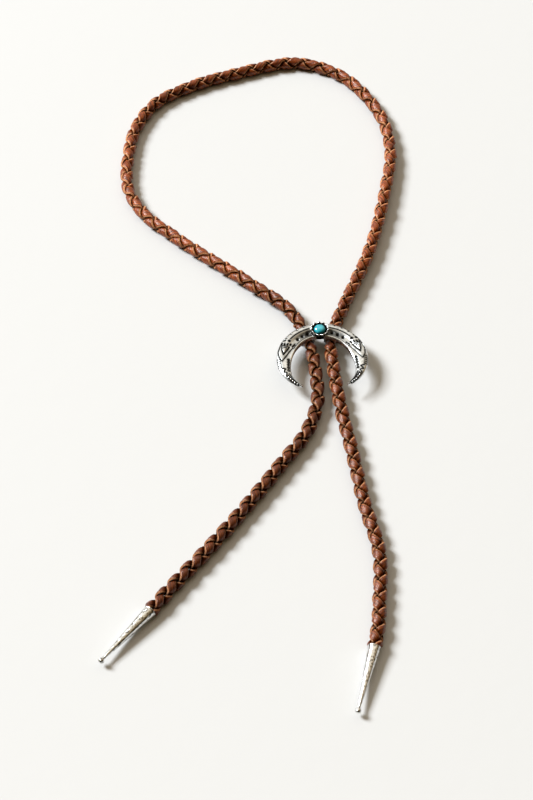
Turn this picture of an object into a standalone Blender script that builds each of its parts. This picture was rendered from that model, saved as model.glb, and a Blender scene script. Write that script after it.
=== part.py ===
"""Bolo tie as it lies on a table: a braided leather cord with a cast silver crescent slide.

The pieces are the cord, the crescent with its crown-shaped stone setting, the turquoise cabochon,
the bent strap under the crescent that the cord runs through, and a silver cone tip on each end.
The origin is on the table under the middle of the slide. +Z is up, +Y points to the neck loop and
the two tails run towards -Y.
"""

import math

import bmesh
import bpy
from mathutils import Matrix, Vector
from mathutils.geometry import interpolate_bezier

MM = 0.001

# Clearance between pieces that touch
GAP = 0.3 * MM

# Cord: a round braid, squeezed where the strap grips it
CORD_DIAMETER = 6.0 * MM
CORD_GRIPPED_DIAMETER = 5.5 * MM
CORD_IN_TIP = 8.0 * MM
CORD_SHOULDER = 3.0 * MM
CORD_STEP = 13.0 * MM
CORD_OFF_TABLE = 0.05 * MM

# Cone tips
TIP_MOUTH_DIAMETER = 5.8 * MM
TIP_WALL = 0.5 * MM
TIP_SOCKET_DEPTH = 12.0 * MM
TIP_CONE_LENGTH = 30.2 * MM
TIP_CONE_END_DIAMETER = 1.3 * MM
TIP_RIM_WIDTH = 0.5 * MM
TIP_RIM_PROUD = 0.08 * MM
TIP_COLLAR_DIAMETER = 1.8 * MM
TIP_COLLAR_WIDTH = 0.45 * MM
TIP_NECK_DIAMETER = 1.0 * MM
TIP_NECK_LENGTH = 0.5 * MM
TIP_BALL_DIAMETER = 2.4 * MM
TIP_SIDES = 32

# Strap bent under the crescent, with one channel for each run of the cord
STRAP_THICKNESS = 0.7 * MM
STRAP_WIDTH = 3.0 * MM
STRAP_INSET = 4.2 * MM
STRAP_BEND = 2.0 * MM
CHANNEL_PLACE = 6.4 * MM
CHANNEL_SLANT = math.radians(13.5)
GRIP_LENGTH = 8.0 * MM

# Crescent
CRESCENT_RADIUS = 22.1 * MM
CRESCENT_HORN_ANGLE = math.radians(148)
BAND_WIDTH = 8.6 * MM
BAND_HEIGHT = 2.9 * MM
HORN_WIDTH = 1.1 * MM
HORN_HEIGHT = 1.7 * MM
HORN_TURN_IN = 1.6 * MM
TAPER_POWER = 2.6
BAND_STATIONS = 72

# Band section from the outer foot over the rim, groove, channel and bead to the inner foot
BAND_SECTION = (
    # share of the width, share of the height
    (0.00, 0.00),
    (0.00, 0.60),
    (0.05, 0.78),
    (0.14, 0.92),
    (0.25, 1.00),
    (0.28, 0.88),
    (0.32, 0.88),
    (0.35, 0.99),
    (0.46, 0.95),
    (0.52, 0.84),
    (0.76, 0.76),
    (0.82, 0.84),
    (0.93, 0.80),
    (1.00, 0.66),
    (1.00, 0.00),
)

# Relief on each half of the band
BORE_DIAMETER = 0.85 * MM
BORE_DEPTH = 0.55 * MM
BORE_SHARES = ((20, 0.63), (29, 0.63), (38, 0.63), (50, 0.26), (50, 0.52))
PUNCH_DIAMETER = 0.5 * MM
PUNCH_DEPTH = 0.3 * MM
PUNCH_SHARES = ((22, 0.11), (31, 0.11), (40, 0.11))
BORDER_WIDTH = 0.6 * MM
BORDER_PROUD = 0.25 * MM
BORDER_CORNERS = ((60, 0.86), (86, 0.36), (60, 0.12))
LEAF_PLACE = (66, 0.42)
LEAF_LENGTH = 3.2 * MM
LEAF_WIDTH = 1.6 * MM
GRAIN_DIAMETER = 0.8 * MM
GRAIN_ANGLES = range(94, 146, 4)
GRAIN_SHARE = 0.55

# Crown setting of the stone, and the stone
SETTING_INSET = 5.6 * MM
SETTING_FOOT_DIAMETER = 7.2 * MM
SETTING_CROWN_DIAMETER = 9.0 * MM
SETTING_FOOT_SINK = 2.2 * MM
SETTING_CROWN_RISE = 1.7 * MM
SETTING_WALL = 0.45 * MM
SETTING_LOBES = 8
SETTING_LOBE_DEPTH = 0.07
SETTING_SCALLOP = 0.3 * MM
STONE_DIAMETER = 5.5 * MM
STONE_GIRDLE = 0.7 * MM
STONE_DOME = 1.6 * MM
STONE_SEAT_RISE = 0.1 * MM

# Places worked out from the sizes above
CORD_RADIUS = CORD_DIAMETER / 2
CORD_HEIGHT = CORD_RADIUS + CORD_OFF_TABLE
GRIP_RADIUS = CORD_GRIPPED_DIAMETER / 2
GRIP_HEIGHT = STRAP_THICKNESS + GAP + GRIP_RADIUS
CRESCENT_UNDERSIDE = GRIP_HEIGHT + GRIP_RADIUS + GAP
CRESCENT_TOP = CRESCENT_UNDERSIDE + BAND_HEIGHT
HORN_END = (CRESCENT_RADIUS - HORN_TURN_IN) * math.cos(CRESCENT_HORN_ANGLE)
CRESCENT_CENTRE = -(CRESCENT_RADIUS + HORN_END) / 2
CRESCENT_BACK = CRESCENT_CENTRE + CRESCENT_RADIUS
STRAP_PLACE = CRESCENT_BACK - STRAP_INSET
SETTING_PLACE = CRESCENT_BACK - SETTING_INSET

# The cord's route as it lies, chosen by hand, in mm: across, along, and lift off the table
LEFT_TAIL = (
    (-80.0, -130.2, 0.0),
    (-54.5, -100.7, 0.0),
    (-23.8, -61.4, 0.4),
    (-9.5, -41.2, 0.5),
    (-4.2, -25.5, 0.6),
    (-3.6, -5.0, 0.7),
)
NECK_LOOP = (
    (-12.0, 31.3, 0.7),
    (-32.0, 53.3, 0.4),
    (-69.0, 89.0, 0.0),
    (-84.2, 106.5, 0.0),
    (-91.5, 123.3, 0.0),
    (-91.5, 148.3, 0.0),
    (-86.5, 172.3, 0.0),
    (-75.0, 191.3, 0.0),
    (-57.0, 202.8, 0.0),
    (-31.5, 212.1, 0.0),
    (8.0, 218.3, 0.0),
    (27.0, 207.5, 0.0),
    (38.8, 191.3, 0.0),
    (46.8, 170.3, 0.2),
    (48.7, 146.3, 0.7),
    (42.2, 112.3, 1.2),
    (31.0, 74.0, 1.0),
    (12.4, 31.5, 0.7),
)
RIGHT_TAIL = (
    (5.4, -5.7, 0.7),
    (6.4, -24.7, 0.5),
    (9.8, -56.7, 0.2),
    (12.6, -85.7, 0.0),
    (16.7, -114.7, 0.0),
    (14.6, -136.7, 0.0),
)
# Where each tip's mouth lies, in mm, and the way that its ball points
LEFT_TIP = (-86.5, -138.0, 228.0)
RIGHT_TIP = (9.6, -162.6, 252.2)


def clear_scene():
    for old in list(bpy.data.objects):
        bpy.data.objects.remove(old, do_unlink=True)


def principled(name, colour, metallic, roughness):
    material = bpy.data.materials.new(name)
    material.use_nodes = True
    shader = material.node_tree.nodes["Principled BSDF"]
    shader.inputs["Base Color"].default_value = (*colour, 1.0)
    shader.inputs["Metallic"].default_value = metallic
    shader.inputs["Roughness"].default_value = roughness
    return material


def add_object(name, data, material, helper=False):
    if material:
        data.materials.append(material)
    piece = bpy.data.objects.new(name, data)
    piece.hide_render = helper
    piece.display_type = "WIRE" if helper else "TEXTURED"
    bpy.context.scene.collection.objects.link(piece)
    return piece


def mesh_from(name, shape, smooth_angle=math.radians(35)):
    """The bmesh as a mesh with its faces outwards, round where it turns gently."""
    bmesh.ops.remove_doubles(shape, verts=shape.verts, dist=0.0005 * MM)
    bmesh.ops.recalc_face_normals(shape, faces=shape.faces)
    mesh = bpy.data.meshes.new(name)
    shape.to_mesh(mesh)
    shape.free()
    mesh.shade_smooth()
    mesh.set_sharp_from_angle(angle=smooth_angle)
    return mesh


def turned(name, profile, sides):
    """A solid turned about +Z from (radius, height) points that start and end on the axis."""
    shape = bmesh.new()
    points = [shape.verts.new((radius, 0, height)) for radius, height in profile]
    edges = [shape.edges.new(pair) for pair in zip(points, points[1:])]
    bmesh.ops.spin(
        shape, geom=points + edges, cent=(0, 0, 0), axis=(0, 0, 1),
        angle=math.tau, steps=sides, use_merge=True,
    )
    return mesh_from(name, shape)


def arc(centre, radius, start, end, count):
    """(radius, height) points on a round stretch of a turned profile."""
    steps = [start + (end - start) * step / (count - 1) for step in range(count)]
    return [(centre[0] + radius * math.cos(a), centre[1] + radius * math.sin(a)) for a in steps]


def cone_radius(depth):
    """The tip's outer radius at a depth behind its mouth."""
    mouth, end = TIP_MOUTH_DIAMETER / 2, TIP_CONE_END_DIAMETER / 2
    return mouth + (end - mouth) * depth / TIP_CONE_LENGTH


def tip_frame(tip):
    """The mouth's centre and the unit vector from it to the ball."""
    across, along, heading = tip
    turn = math.radians(heading)
    mouth = Vector((across * MM, along * MM, CORD_HEIGHT))
    return mouth, Vector((math.cos(turn), math.sin(turn), 0))


def tip_stretch(tip):
    """The cord's end from inside a tip's socket out to its full size, as (place, radius)."""
    mouth, outward = tip_frame(tip)
    inside = cone_radius(CORD_IN_TIP) - TIP_WALL - GAP
    at_mouth = cone_radius(0) - TIP_WALL - GAP
    return [
        (mouth + outward * CORD_IN_TIP, inside),
        (mouth, at_mouth),
        (mouth - outward * CORD_SHOULDER, CORD_RADIUS),
    ]


def grip_stretch(side):
    """The straight run through the strap on one side, from the tail to the loop."""
    middle = Vector((side * CHANNEL_PLACE, STRAP_PLACE, GRIP_HEIGHT))
    along = Vector((side * math.sin(CHANNEL_SLANT), math.cos(CHANNEL_SLANT), 0))
    return [(middle + along * (GRIP_LENGTH / 2 * end), GRIP_RADIUS) for end in (-1, 1)]


def free_stretch(points):
    return [(Vector((x * MM, y * MM, z * MM + CORD_HEIGHT)), CORD_RADIUS) for x, y, z in points]


def cord_route():
    return [
        *tip_stretch(LEFT_TIP),
        *free_stretch(LEFT_TAIL),
        *grip_stretch(-1),
        *free_stretch(NECK_LOOP),
        *reversed(grip_stretch(1)),
        *free_stretch(RIGHT_TAIL),
        *reversed(tip_stretch(RIGHT_TIP)),
    ]


def smooth_through(route):
    """Points on one smooth curve through the route, about a step apart, as (place, radius)."""
    places = [place for place, radius in route]
    ahead = [after - before for before, after in zip(places, places[1:])]
    slopes = [ahead[0].normalized()]
    for before, after in zip(ahead, ahead[1:]):
        lean = before.normalized() * after.length + after.normalized() * before.length
        slopes.append(lean.normalized())
    slopes.append(ahead[-1].normalized())
    points = []
    for index, chord in enumerate(ahead):
        (start, start_radius), (end, end_radius) = route[index], route[index + 1]
        third = chord.length / 3
        count = max(1, round(chord.length / CORD_STEP))
        curve = interpolate_bezier(
            start, start + slopes[index] * third, end - slopes[index + 1] * third, end, count + 1
        )
        for step in range(count):
            radius = start_radius + (end_radius - start_radius) * step / count
            points.append((curve[step], radius))
    points.append(route[-1])
    return points


def add_cord(material):
    curve = bpy.data.curves.new("cord", "CURVE")
    curve.dimensions = "3D"
    curve.bevel_depth = CORD_RADIUS
    curve.bevel_resolution = 4
    curve.use_fill_caps = True
    points = smooth_through(cord_route())
    spline = curve.splines.new("POLY")
    spline.points.add(len(points) - 1)
    for knot, (place, radius) in zip(spline.points, points):
        knot.co = (*place, 1)
        knot.radius = radius / CORD_RADIUS
    add_object("cord", curve, material)


def add_tip(name, tip, material):
    mouth, cone_end = TIP_MOUTH_DIAMETER / 2, TIP_CONE_END_DIAMETER / 2
    rim = mouth + TIP_RIM_PROUD
    collar_end = TIP_CONE_LENGTH + TIP_COLLAR_WIDTH
    neck_end = collar_end + TIP_NECK_LENGTH
    ball, neck = TIP_BALL_DIAMETER / 2, TIP_NECK_DIAMETER / 2
    meet = math.asin(neck / ball)
    ball_centre = neck_end + ball * math.cos(meet)
    profile = [
        (0, TIP_SOCKET_DEPTH),
        (cone_radius(TIP_SOCKET_DEPTH) - TIP_WALL, TIP_SOCKET_DEPTH),
        (mouth - TIP_WALL, 0),
        (rim, 0),
        (rim, TIP_RIM_WIDTH),
        (cone_radius(TIP_RIM_WIDTH), TIP_RIM_WIDTH + TIP_RIM_PROUD),
        (cone_end, TIP_CONE_LENGTH),
        (TIP_COLLAR_DIAMETER / 2, TIP_CONE_LENGTH + TIP_COLLAR_WIDTH / 4),
        (TIP_COLLAR_DIAMETER / 2, collar_end),
        (neck, collar_end + TIP_COLLAR_WIDTH / 4),
        *arc((0, ball_centre), ball, meet - math.pi / 2, math.pi / 2, 11)[:-1],
        (0, ball_centre + ball),
    ]
    piece = add_object(name, turned(name, profile, TIP_SIDES), material)
    place, outward = tip_frame(tip)
    piece.location = place
    piece.rotation_euler = (0, math.pi / 2, math.atan2(outward.y, outward.x))


def strap_path():
    """(across, height) points down the middle of the strap's thickness, left end to right end."""
    half_grip = STRAP_WIDTH / 2 * math.tan(CHANNEL_SLANT) + GRIP_RADIUS / math.cos(CHANNEL_SLANT)
    inner = CHANNEL_PLACE - half_grip - GAP - STRAP_THICKNESS / 2
    outer = CHANNEL_PLACE + half_grip + GAP + STRAP_THICKNESS / 2
    top = CRESCENT_UNDERSIDE - GAP
    bridge = top - STRAP_THICKNESS / 2
    floor = STRAP_THICKNESS / 2
    bend = STRAP_BEND
    quarter = math.pi / 2
    half = [
        *arc((inner - bend / 2, bridge - bend / 2), bend / 2, quarter, 0, 5),
        *arc((inner + bend, floor + bend), bend, math.pi, math.pi + quarter, 6),
        *arc((outer - bend, floor + bend), bend, -quarter, 0, 6),
        (outer, top),
    ]
    return [(-across, height) for across, height in reversed(half)] + half


def add_strap(material):
    shape = bmesh.new()
    front = STRAP_PLACE - STRAP_WIDTH / 2
    points = [shape.verts.new((across, front, height)) for across, height in strap_path()]
    edges = [shape.edges.new(pair) for pair in zip(points, points[1:])]
    swept = bmesh.ops.extrude_edge_only(shape, edges=edges)["geom"]
    moved = [part for part in swept if isinstance(part, bmesh.types.BMVert)]
    bmesh.ops.translate(shape, verts=moved, vec=(0, STRAP_WIDTH, 0))
    strap = add_object("slide_strap", mesh_from("slide_strap", shape), material)
    wall = strap.modifiers.new("wall", "SOLIDIFY")
    wall.thickness = STRAP_THICKNESS
    wall.offset = 0
    wall.use_even_offset = True


def taper(angle):
    """1 at the crown of the crescent, falling smoothly to 0 at the horns' ends."""
    share = min(abs(angle) / CRESCENT_HORN_ANGLE, 1)
    return (1 + math.cos(math.pi * share ** TAPER_POWER)) / 2


def band_size(angle):
    part = taper(angle)
    width = HORN_WIDTH + (BAND_WIDTH - HORN_WIDTH) * part
    height = HORN_HEIGHT + (BAND_HEIGHT - HORN_HEIGHT) * part
    return width, height


def band_point(angle, across, rise):
    """A place on the band, at shares of its width from the outside and of its height."""
    width, height = band_size(angle)
    turned_in = HORN_TURN_IN * (1 - taper(angle)) ** 4
    radius = CRESCENT_RADIUS - turned_in - width * across
    return Vector((
        radius * math.sin(angle),
        CRESCENT_CENTRE + radius * math.cos(angle),
        CRESCENT_UNDERSIDE + height * rise,
    ))


def surface_rise(across):
    """The section's height share at a share of the width."""
    top = BAND_SECTION[1:-1]
    for (start, low), (end, high) in zip(top, top[1:]):
        if start <= across <= end and end > start:
            return low + (high - low) * (across - start) / (end - start)
    return top[-1][1]


def on_band(degrees, across, side):
    return band_point(side * math.radians(degrees), across, surface_rise(across))


def band_shape():
    shape = bmesh.new()
    rings = []
    for station in range(BAND_STATIONS + 1):
        angle = CRESCENT_HORN_ANGLE * (2 * station / BAND_STATIONS - 1)
        rings.append([shape.verts.new(band_point(angle, *share)) for share in BAND_SECTION])
    for ring, following in zip(rings, rings[1:]):
        loops = zip(ring, ring[1:] + ring[:1], following[1:] + following[:1], following)
        for corners in loops:
            shape.faces.new(corners)
    shape.faces.new(rings[0])
    shape.faces.new(rings[-1])
    return shape


def bar(shape, start, end, width, height):
    """A closed bar between two places, half of its height sunk below them."""
    along = end - start
    turn = Matrix.Rotation(math.atan2(along.y, along.x), 4, "Z")
    tilt = Matrix.Rotation(-math.asin(along.z / along.length), 4, "Y")
    size = Matrix.Diagonal((along.length + width, width, height, 1))
    place = Matrix.Translation((start + end) / 2)
    bmesh.ops.create_cube(shape, size=1, matrix=place @ turn @ tilt @ size)


def relief_shape():
    """The raised border, leaf and grains of both halves, as closed shapes that overlap."""
    shape = bmesh.new()
    for side in (-1, 1):
        corners = [on_band(*corner, side) for corner in BORDER_CORNERS]
        for start, end in zip(corners, corners[1:] + corners[:1]):
            bar(shape, start, end, BORDER_WIDTH, 2 * BORDER_PROUD)
        leaf = Matrix.Translation(on_band(*LEAF_PLACE, side))
        leaf @= Matrix.Rotation(-side * math.radians(LEAF_PLACE[0]), 4, "Z")
        leaf @= Matrix.Diagonal((LEAF_LENGTH, LEAF_WIDTH, 2 * BORDER_PROUD, 1))
        bmesh.ops.create_icosphere(shape, subdivisions=2, radius=0.5, matrix=leaf)
        for degrees in GRAIN_ANGLES:
            grain = Matrix.Translation(on_band(degrees, GRAIN_SHARE, side))
            bmesh.ops.create_icosphere(
                shape, subdivisions=1, radius=GRAIN_DIAMETER / 2, matrix=grain
            )
    return shape


def bores_shape():
    """Cutters for the drilled row and the punched dots on both halves."""
    shape = bmesh.new()
    holes = [(place, BORE_DIAMETER, BORE_DEPTH) for place in BORE_SHARES]
    holes += [(place, PUNCH_DIAMETER, PUNCH_DEPTH) for place in PUNCH_SHARES]
    for side in (-1, 1):
        for place, diameter, depth in holes:
            middle = Matrix.Translation(on_band(*place, side))
            bmesh.ops.create_cone(
                shape, cap_ends=True, segments=10, radius1=diameter / 3,
                radius2=diameter * 2 / 3, depth=2 * depth, matrix=middle,
            )
    return shape


def setting_shape():
    """The crown: a cup that flares to a scalloped edge, closed below and open to the stone."""
    foot, crown = SETTING_FOOT_DIAMETER / 2, SETTING_CROWN_DIAMETER / 2
    seat = STONE_DIAMETER / 2 + GAP
    base = CRESCENT_TOP - SETTING_FOOT_SINK
    floor = CRESCENT_TOP + STONE_SEAT_RISE
    edge = CRESCENT_TOP + SETTING_CROWN_RISE
    rings = (
        # radius, height, share of the lobes
        (foot, base, 0.0),
        (foot, CRESCENT_TOP, 0.2),
        ((foot + crown) / 2, (CRESCENT_TOP + edge) / 2, 0.7),
        (crown, edge, 1.0),
        (crown - SETTING_WALL, edge, 1.0),
        (seat, (floor + edge) / 2, 0.0),
        (seat, floor, 0.0),
    )
    sides = SETTING_LOBES * 8
    shape = bmesh.new()
    built = []
    for radius, height, share in rings:
        ring = []
        for step in range(sides):
            turn = math.tau * step / sides
            lobe = share * math.cos(SETTING_LOBES * turn)
            reach = radius * (1 + SETTING_LOBE_DEPTH * lobe)
            rise = height + SETTING_SCALLOP * lobe
            ring.append(shape.verts.new((
                reach * math.sin(turn), SETTING_PLACE + reach * math.cos(turn), rise,
            )))
        built.append(ring)
    for ring, following in zip(built, built[1:]):
        for corners in zip(ring, ring[1:] + ring[:1], following[1:] + following[:1], following):
            shape.faces.new(corners)
    shape.faces.new(built[0])
    shape.faces.new(built[-1])
    return shape


def combine(target, name, shape, operation):
    """A Boolean of a helper shape on the target."""
    helper = add_object(name, mesh_from(name, shape), None, helper=True)
    change = target.modifiers.new(name, "BOOLEAN")
    change.operation = operation
    change.object = helper
    change.use_self = True


def add_crescent(material):
    crescent = add_object("crescent", mesh_from("crescent", band_shape()), material)
    combine(crescent, "bores", bores_shape(), "DIFFERENCE")
    combine(crescent, "relief", relief_shape(), "UNION")
    combine(crescent, "setting", setting_shape(), "UNION")


def add_cabochon(material):
    radius = STONE_DIAMETER / 2
    dome = [
        (radius * math.cos(a), STONE_GIRDLE + STONE_DOME * math.sin(a))
        for a in (math.pi / 2 * step / 8 for step in range(8))
    ]
    profile = [(0, 0), (radius, 0), *dome, (0, STONE_GIRDLE + STONE_DOME)]
    stone = add_object("cabochon", turned("cabochon", profile, TIP_SIDES), material)
    stone.location = (0, SETTING_PLACE, CRESCENT_TOP + STONE_SEAT_RISE + GAP)


def main():
    clear_scene()
    leather = principled("brown braided leather", (0.165, 0.052, 0.024), 0.0, 0.42)
    silver = principled("oxidised cast silver", (0.78, 0.77, 0.74), 1.0, 0.28)
    polished = principled("planished silver", (0.86, 0.85, 0.82), 1.0, 0.22)
    turquoise = principled("turquoise", (0.045, 0.50, 0.53), 0.0, 0.25)
    add_cord(leather)
    add_crescent(silver)
    add_strap(polished)
    add_cabochon(turquoise)
    add_tip("left_tip", LEFT_TIP, polished)
    add_tip("right_tip", RIGHT_TIP, polished)


main()
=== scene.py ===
"""The looks of the bolo tie: a cord braided from four leather laces, a cast silver crescent slide
with a turquoise in a crown setting, and a silver cone tip on each end, lying on a pale table."""

import math

import bmesh
import bpy
import numpy as np
from mathutils import Matrix, Vector, noise
from mathutils.geometry import interpolate_bezier


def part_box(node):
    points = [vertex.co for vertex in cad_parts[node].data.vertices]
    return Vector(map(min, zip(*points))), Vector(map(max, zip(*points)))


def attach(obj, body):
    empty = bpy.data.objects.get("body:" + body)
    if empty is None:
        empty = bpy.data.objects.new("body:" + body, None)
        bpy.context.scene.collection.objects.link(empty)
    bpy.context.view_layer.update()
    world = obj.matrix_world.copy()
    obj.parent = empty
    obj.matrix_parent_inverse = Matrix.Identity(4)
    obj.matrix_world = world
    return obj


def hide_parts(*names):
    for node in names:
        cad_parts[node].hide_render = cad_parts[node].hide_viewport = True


MM = 0.001

# The cord's route from the CAD source, in metres: across, along, and lift off the table
LEFT_TAIL = (
    (-0.0800, -0.1302, 0.0000),
    (-0.0545, -0.1007, 0.0000),
    (-0.0238, -0.0614, 0.0004),
    (-0.0095, -0.0412, 0.0005),
    (-0.0042, -0.0255, 0.0006),
    (-0.0036, -0.0050, 0.0007),
)
NECK_LOOP = (
    (-0.0120, 0.0313, 0.0007),
    (-0.0320, 0.0533, 0.0004),
    (-0.0690, 0.0890, 0.0000),
    (-0.0842, 0.1065, 0.0000),
    (-0.0915, 0.1233, 0.0000),
    (-0.0915, 0.1483, 0.0000),
    (-0.0865, 0.1723, 0.0000),
    (-0.0750, 0.1913, 0.0000),
    (-0.0570, 0.2028, 0.0000),
    (-0.0315, 0.2121, 0.0000),
    (0.0080, 0.2183, 0.0000),
    (0.0270, 0.2075, 0.0000),
    (0.0388, 0.1913, 0.0000),
    (0.0468, 0.1703, 0.0002),
    (0.0487, 0.1463, 0.0007),
    (0.0422, 0.1123, 0.0012),
    (0.0310, 0.0740, 0.0010),
    (0.0124, 0.0315, 0.0007),
)
RIGHT_TAIL = (
    (0.0054, -0.0057, 0.0007),
    (0.0064, -0.0247, 0.0005),
    (0.0098, -0.0567, 0.0002),
    (0.0126, -0.0857, 0.0000),
    (0.0167, -0.1147, 0.0000),
    (0.0146, -0.1367, 0.0000),
)
# Each tip's mouth, and the heading of its ball in degrees
LEFT_TIP = (-0.0865, -0.1380, 228.0)
RIGHT_TIP = (0.0096, -0.1626, 252.2)

# The cord's sizes from the CAD source
CORD_DIAMETER = 6.0 * MM
GRIPPED_DIAMETER = 5.5 * MM
OFF_TABLE = 0.05 * MM
IN_TIP = 8.0 * MM
CHANNEL_PLACE = 6.4 * MM
CHANNEL_SLANT = math.radians(13.5)
GRIP_LENGTH = 8.0 * MM

# The braid: two laces wind each way, and each goes over one and under one
LACE_WIDTH = 4.3 * MM
LACE_THICKNESS = 1.4 * MM
LACE_MIDDLE = 1.88 * MM
LACE_WAVE = 0.88 * MM
LACE_REACH = 2.4 * MM
LACE_STEP = 0.75 * MM
LACE_SECTION = (
    # share of the half width, share of the half thickness, round the lace from its left face edge
    (-0.84, 0.66),
    (-0.60, 0.90),
    (-0.20, 1.00),
    (0.20, 1.00),
    (0.60, 0.90),
    (0.84, 0.66),
    (1.00, -0.50),
    (0.90, -1.00),
    (0.30, -1.00),
    (-0.30, -1.00),
    (-0.90, -1.00),
    (-1.00, -0.50),
)
CUT_EDGE_STEPS = (5, 11)
# How sharply a lace climbs over the next, and how flat it lies on the braid: mean and swing
CLIMB_LIMIT = 1.1
CLIMB_SOFTNESS = 0.45
FLATNESS = 0.5
FLATNESS_SWING = 0.35
# The laces' unevenness, each with its size and its wavelength along the cord
EDGE_SWAY = (0.17, 6 * MM)
EDGE_FRAY = (0.13, 2 * MM)
LACE_DRIFT = (0.10, 9 * MM)
LACE_LIFT = (0.10 * MM, 5 * MM)
LACE_TILT = (0.22, 7 * MM)
LACE_LUMPS = (0.12 * MM, 2.2 * MM)
# The braid's thickness as a share: gripped by the strap, at its end in a tip, and more at the tip's mouth
GRIPPED_SHARE = 0.78
GRIP_EASE = 6 * MM
TUCKED_SHARE = 0.42
TUCKED_GAIN = 0.20
FLARE_SHARE = 0.06
FLARE_PLACE = 1.3 * MM
FLARE_LENGTH = 1.2 * MM
# How far a lace runs along the cord in one turn, in millimetres, at shares of the cord's length
LACE_TURN = (
    (0.00, 17.6),
    (0.20, 17.8),
    (0.25, 19.8),
    (0.45, 19.6),
    (0.60, 21.0),
    (0.68, 20.8),
    (0.75, 18.4),
    (0.87, 18.4),
    (0.89, 17.2),
    (1.00, 17.0),
)
# How far the braid is turned about the cord, in degrees, at shares of its length
BRAID_TURNED = (
    (0.00, -65),
    (0.20, -68),
    (0.27, -85),
    (0.34, -85),
    (0.62, -72),
    (0.72, -68),
    (0.82, -58),
    (1.00, -58),
)
# How rubbed the leather is at shares of the cord's length, the neck loop's sides most; in its colour this
# is also painted light, paler on the neck loop's sides and darker on the left tail
WEAR_AND_PAINTED_LIGHT = (
    (0.00, -0.65),
    (0.18, -0.65),
    (0.24, -0.3),
    (0.28, 0.9),
    (0.40, 1.0),
    (0.44, 0.25),
    (0.54, 0.3),
    (0.58, 0.9),
    (0.72, 0.85),
    (0.78, -0.15),
    (1.00, -0.15),
)
# What full wear does: wider laces, a flatter weave, and less painted shade between them
WEAR_WIDENS = 0.06
WEAR_FLATTENS = 0.1
WEAR_EASES_CREASE_SHADE = 0.2

# The crescent's band, its places told in degrees from the crown and shares of the width from the rim
HORN_ANGLE = math.radians(148)
BAND_WIDTH = 8.6 * MM
BAND_HEIGHT = 2.9 * MM
HORN_WIDTH = 1.4 * MM
HORN_HEIGHT = 1.7 * MM
HORN_TURN_IN = 1.6 * MM
HORN_TURN_IN_POWER = 4
HORN_BACK_LET_IN = 0.8 * MM
HORN_BACK_FROM = math.radians(45)
HORN_BACK_TO = math.radians(95)
HORN_ROUNDED = 0.9 * MM
HORN_PROFILE_FROM = math.radians(62)
HORN_PROFILE_TO = math.radians(100)
TAPER_POWER = 2.6
BAND_STATIONS = 900
OUTER_WALL_STEPS = 3
TOP_STEPS = 62
UNDERSIDE_STEPS = 3
CROWN_PROFILE = (
    # share of the width, share of the height: outer edge, ridge, channel and inner bead
    (0.00, 0.50),
    (0.02, 0.68),
    (0.07, 0.82),
    (0.15, 0.92),
    (0.24, 0.98),
    (0.33, 1.00),
    (0.43, 1.00),
    (0.49, 0.91),
    (0.58, 0.80),
    (0.70, 0.73),
    (0.80, 0.71),
    (0.86, 0.73),
    (0.90, 0.82),
    (0.95, 0.84),
    (1.00, 0.72),
)
HORN_PROFILE = (
    # share of the width, share of the height: one rounded ridge
    (0.00, 0.50),
    (0.06, 0.70),
    (0.18, 0.88),
    (0.34, 0.99),
    (0.46, 1.00),
    (0.62, 0.92),
    (0.80, 0.80),
    (0.92, 0.72),
    (1.00, 0.55),
)
INNER_WALL = (
    # share of the width, share of the top's height, down the wall with its one step
    (1.000, 0.90),
    (0.975, 0.80),
    (0.975, 0.72),
    (1.000, 0.64),
    (1.000, 0.00),
)

# How a cut comes out: wider and deeper than drawn, with a soft lip and a stain round about
CUT_WIDENED = 1.2
CUT_DEEPENED = 1.3
CUT_LIP_INSIDE = 0.08 * MM
CUT_LIP_OUTSIDE = 0.10 * MM
STAIN = 0.42
STAIN_REACH = 0.7 * MM
# Blackening of the plain sides, and of the wall's step and the setting's flutes
PLAIN_BLACKENING = 0.15
DEEP_BLACKENING = 0.8

# The crown setting
SETTING_LOBES = 11
SETTING_LOBE_DEPTH = 0.28 * MM
SETTING_STEPS = 176
SETTING_PROFILE = (
    # mean radius, depth of the lobes, height above the band's top: up the wall, over it, and down inside
    (3.75 * MM, 0.08 * MM, -2.20 * MM),
    (3.75 * MM, 0.14 * MM, -0.90 * MM),
    (3.76 * MM, 0.18 * MM, -0.20 * MM),
    (3.88 * MM, 0.24 * MM, 0.50 * MM),
    (4.08 * MM, 0.27 * MM, 1.10 * MM),
    (4.24 * MM, 0.28 * MM, 1.50 * MM),
    (4.27 * MM, 0.28 * MM, 1.62 * MM),
    (4.20 * MM, 0.28 * MM, 1.72 * MM),
    (4.00 * MM, 0.27 * MM, 1.72 * MM),
    (3.84 * MM, 0.25 * MM, 1.58 * MM),
    (3.62 * MM, 0.20 * MM, 1.05 * MM),
    (3.30 * MM, 0.10 * MM, 0.45 * MM),
    (3.06 * MM, 0.02 * MM, 0.12 * MM),
    (2.00 * MM, 0.00 * MM, 0.10 * MM),
)
SETTING_WAVE = 0.2 * MM
SETTING_FOOT_ROWS = 3
SETTING_FLUTED_ROWS = 6
SETTING_LEDGE_ROW = 9

# The stone
STONE_GIRDLE = 0.7 * MM
STONE_FOOT_BEVEL = 0.12 * MM
STONE_FOOT_SHARE = 0.96
STONE_FULLNESS = 0.9
STONE_STEPS = 20

# The cone tips, as radii and lengths
TIP_MOUTH = 2.9 * MM
TIP_RIM = 0.28 * MM
TIP_RIM_PROUD = 0.08 * MM
TIP_RIM_LENGTH = 1.2 * MM
TIP_WALL = 0.5 * MM
TIP_SOCKET = 12.0 * MM
TIP_CONE_LENGTH = 30.2 * MM
TIP_CONE_END = 0.65 * MM
TIP_CONE_ROWS = 44
TIP_COLLAR = 0.22 * MM
TIP_COLLAR_OUT = 0.66 * MM
TIP_NECK = 0.5 * MM
TIP_NECK_END = 0.95 * MM
TIP_BALL = 1.35 * MM

WELD_DISTANCE = 0.001 * MM

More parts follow.
